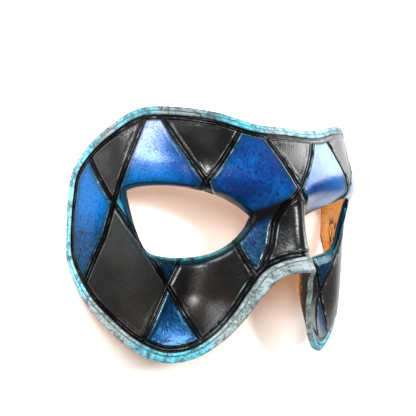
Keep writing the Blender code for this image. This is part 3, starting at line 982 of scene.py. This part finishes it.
class LeatherLook(bpy.types.PropertyGroup):
    """Sizes, dyes and paints of the leather"""
    leather: length("Leather", 0.0024, "Thickness of the leather")
    point_gap: length("Point Gap", 0.0005, "Distance between points along the edges")
    channel_width: length("Channel Width", 0.0028, "Width of the tooled channels")
    channel_depth: length("Channel Depth", 0.0007, "Depth of the tooled channels")
    ridge_height: length("Ridge Height", 0.0002, "Height of the ridge in each channel")
    lip_height: length("Lip Height", 0.00012, "Height of the lips beside each channel")
    score_depth: length("Score Depth", 0.0003, "Depth of the line scored in the rim")
    wave_height: length("Wave Height", 0.00014, "Height of the waves left by moulding")
    wave_length: length("Wave Length", 0.009, "Size of the waves left by moulding")
    grain_height: length("Grain Height", 0.00008, "Height of the leather's grain")
    seed: IntProperty(name="Seed", default=5, description="Which waves are moulded")

    royal_blue: dye("Royal Blue", (0.001, 0.024, 0.15), "Dye in the blue diamonds")
    azure_blue: dye("Azure Blue", (0.0, 0.13, 0.42), "Brighter dye mottled into the blue")
    petrol_blue: dye("Petrol Blue", (0.001, 0.042, 0.12), "Dye in the lower blue diamonds")
    # Painted highlight: the lilac-white bloom mixed into the blue over the eyes
    highlight_lilac: dye("Pearl", (0.50, 0.50, 0.84), "Pearly bloom on the blue over the eyes")
    teal: dye("Teal", (0.001, 0.034, 0.052), "Dye along the diamonds' edges")
    # Teal dye beside the channels, and dye with painted shade on the eyes' rolled margins
    lid_teal_dye_and_shade: dye("Lid Teal", (0.002, 0.022, 0.03), "Dye on the eyes' rolled margins")
    turquoise: dye("Turquoise", (0.05, 0.45, 0.58), "Bright paint on rim and lower lids")
    # Ice blue also paints a highlight on the rim's top over the far half
    ice_blue: dye("Ice Blue", (0.30, 0.66, 0.78), "Palest paint, on the rim at the temples")
    ink_black: dye("Ink Black", (0.0025, 0.0025, 0.003), "Dye in the black diamonds")
    # Worn black dye, also mixed in at the temples as a painted sheen
    charcoal_wear_and_sheen: dye("Charcoal", (0.026, 0.028, 0.026), "Worn black dye")
    brown_black: dye("Brown Black", (0.012, 0.006, 0.004), "Black dye over brown, on the cheeks")
    channel_black: dye("Channel Black", (0.0015, 0.0015, 0.002), "Dye in the channels")
    rubbed_grey: dye("Rubbed Grey", (0.30, 0.35, 0.37), "Dye rubbed off the channels' lips")
    silver: dye("Silver", (0.27, 0.33, 0.335), "Metallic paint on the rim")
    patina: dye("Patina", (0.06, 0.085, 0.09), "Worn places in the metallic paint")
    tan: dye("Tan", (0.64, 0.25, 0.06), "Bare leather on the inner side")
    pale_tan: dye("Pale Tan", (0.74, 0.36, 0.12), "Paler bare leather")
    brown_stain: dye("Brown Stain", (0.05, 0.015, 0.006), "Dye that ran onto the inner side")


class StageLook(bpy.types.PropertyGroup):
    """Floor and lights"""
    floor_size: length("Floor Size", 6.0, "Width of the floor")
    floor_colour: dye("Floor Colour", (0.93, 0.91, 0.88), "Colour of the floor")
    sky_strength: FloatProperty(name="Sky Strength", default=0.22, min=0.0,
                                description="Strength of the light from all round")
    front_power: power("Front Light", 7.6, "Power of the softbox above and behind the camera")
    brow_power: power("Brow Light", 4.4, "Power of the softbox over the forehead")
    nose_power: power("Nose Light", 6.0, "Power of the strip light right of the camera")
    back_power: power("Back Light", 8.0, "Power of the softbox behind the far side")


class HALFMASK_OT_make_leather(bpy.types.Operator):
    """Makes the moulded, tooled and painted leather"""
    bl_idname = "half_mask.make_leather"
    bl_label = "Make Leather"

    def execute(self, context):
        look = context.scene.half_mask_leather
        mesh = leather_piece(look).mesh("half_mask_leather")
        obj = bpy.data.objects.new("half_mask_leather", mesh)
        context.collection.objects.link(obj)
        sizes = {name: getattr(look, name.lower().replace(" ", "_")) / MM
                 for name in TOOLING if name != "Seed"}
        sizes["Seed"] = float(look.seed)
        front, back = painted_leather(look), bare_leather(look)
        tooled(obj, tooling_tree(front, back), sizes)
        obj.data.shade_smooth()
        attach(obj, "root")
        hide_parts(NODE)
        return {"FINISHED"}


def view_axes():
    """Right, up and back of the photograph's view, on the mask lying face up."""
    across, over, roll = (math.radians(turn) for turn in (VIEW_ACROSS, VIEW_OVER, VIEW_ROLL))
    back = Vector((-math.sin(across) * math.cos(over), math.sin(over),
                   math.cos(across) * math.cos(over)))
    level = Vector((math.cos(across), 0.0, math.sin(across)))
    upright = back.cross(level)
    right = level * math.cos(roll) + upright * math.sin(roll)
    return right, back.cross(right), back


def softbox(name, energy, size, place, mirrored):
    """Rectangular softbox that faces the mask, mirrored in glossy paint or only lighting it."""
    data = bpy.data.lights.new(name, "AREA")
    data.shape = "RECTANGLE"
    data.size, data.size_y = size
    data.energy = energy
    lamp = bpy.data.objects.new(name, data)
    lamp.visible_glossy = mirrored
    bpy.context.collection.objects.link(lamp)
    lamp.location = place
    lamp.rotation_euler = (place - Vector(SOFTBOX_AIM)).to_track_quat("Z", "Y").to_euler()


class HALFMASK_OT_make_stage(bpy.types.Operator):
    """Makes the pale floor, the soft lights and the camera of the photograph"""
    bl_idname = "half_mask.make_stage"
    bl_label = "Make Stage"

    def execute(self, context):
        look = context.scene.half_mask_stage
        half = look.floor_size / 2.0
        corners = [(-half, -half, 0.0), (half, -half, 0.0), (half, half, 0.0), (-half, half, 0.0)]
        mesh = bpy.data.meshes.new("floor")
        mesh.from_pydata(corners, [], [(0, 1, 2, 3)])
        floor = bpy.data.objects.new("floor", mesh)
        context.collection.objects.link(floor)
        mesh.materials.append(pale_floor(look))
        floor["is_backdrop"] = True

        right, up, back = view_axes()
        for name, setting, size, ways, mirrored in SOFTBOXES:
            place = right * ways[0] + up * ways[1] + back * ways[2]
            softbox(name, getattr(look, setting), size, place, mirrored)
        world = bpy.data.worlds.new("studio")
        world.use_nodes = True
        sky = world.node_tree.nodes["Background"].inputs
        sky["Color"].default_value = (1.0, 1.0, 1.0, 1.0)
        sky["Strength"].default_value = look.sky_strength
        context.scene.world = world
        context.scene.view_settings.view_transform = "Standard"

        data = bpy.data.cameras.new("photo_camera")
        data.lens = VIEW_LENS
        camera = bpy.data.objects.new("photo_camera", data)
        context.collection.objects.link(camera)
        place = back * VIEW_DISTANCE - right * VIEW_SHIFT[0] - up * VIEW_SHIFT[1]
        place = (place - Vector((MIDDLE_S, MIDDLE_T, rest_level()))) * MM
        turn = Matrix((right, up, back)).transposed().to_4x4()
        camera.matrix_world = Matrix.Translation(place) @ turn
        context.scene.camera = camera
        return {"FINISHED"}


class HALFMASK_PT_build(bpy.types.Panel):
    """Settings of the leather and the stage, each with its operator"""
    bl_idname = "HALFMASK_PT_build"
    bl_label = "Harlequin Half Mask"
    bl_space_type = "VIEW_3D"
    bl_region_type = "UI"
    bl_category = "Mask"

    def draw(self, context):
        for group, operator in ((context.scene.half_mask_leather, HALFMASK_OT_make_leather),
                                (context.scene.half_mask_stage, HALFMASK_OT_make_stage)):
            box = self.layout.box()
            for name in group.__annotations__:
                box.prop(group, name)
            box.operator(operator.bl_idname)


CLASSES = (
    LeatherLook, StageLook, HALFMASK_OT_make_leather, HALFMASK_OT_make_stage, HALFMASK_PT_build,
)


def register():
    for made in CLASSES:
        bpy.utils.register_class(made)
    bpy.types.Scene.half_mask_leather = PointerProperty(type=LeatherLook)
    bpy.types.Scene.half_mask_stage = PointerProperty(type=StageLook)


def unregister():
    del bpy.types.Scene.half_mask_stage
    del bpy.types.Scene.half_mask_leather
    for made in reversed(CLASSES):
        bpy.utils.unregister_class(made)


def main():
    register()
    bpy.ops.half_mask.make_leather()
    bpy.ops.half_mask.make_stage()
    boxes = {"cad": CAD_BOUNDS, "visual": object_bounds()}
    boxes = {name: [list(corner) for corner in box] for name, box in boxes.items()}


if __name__ == "__main__":
    main()
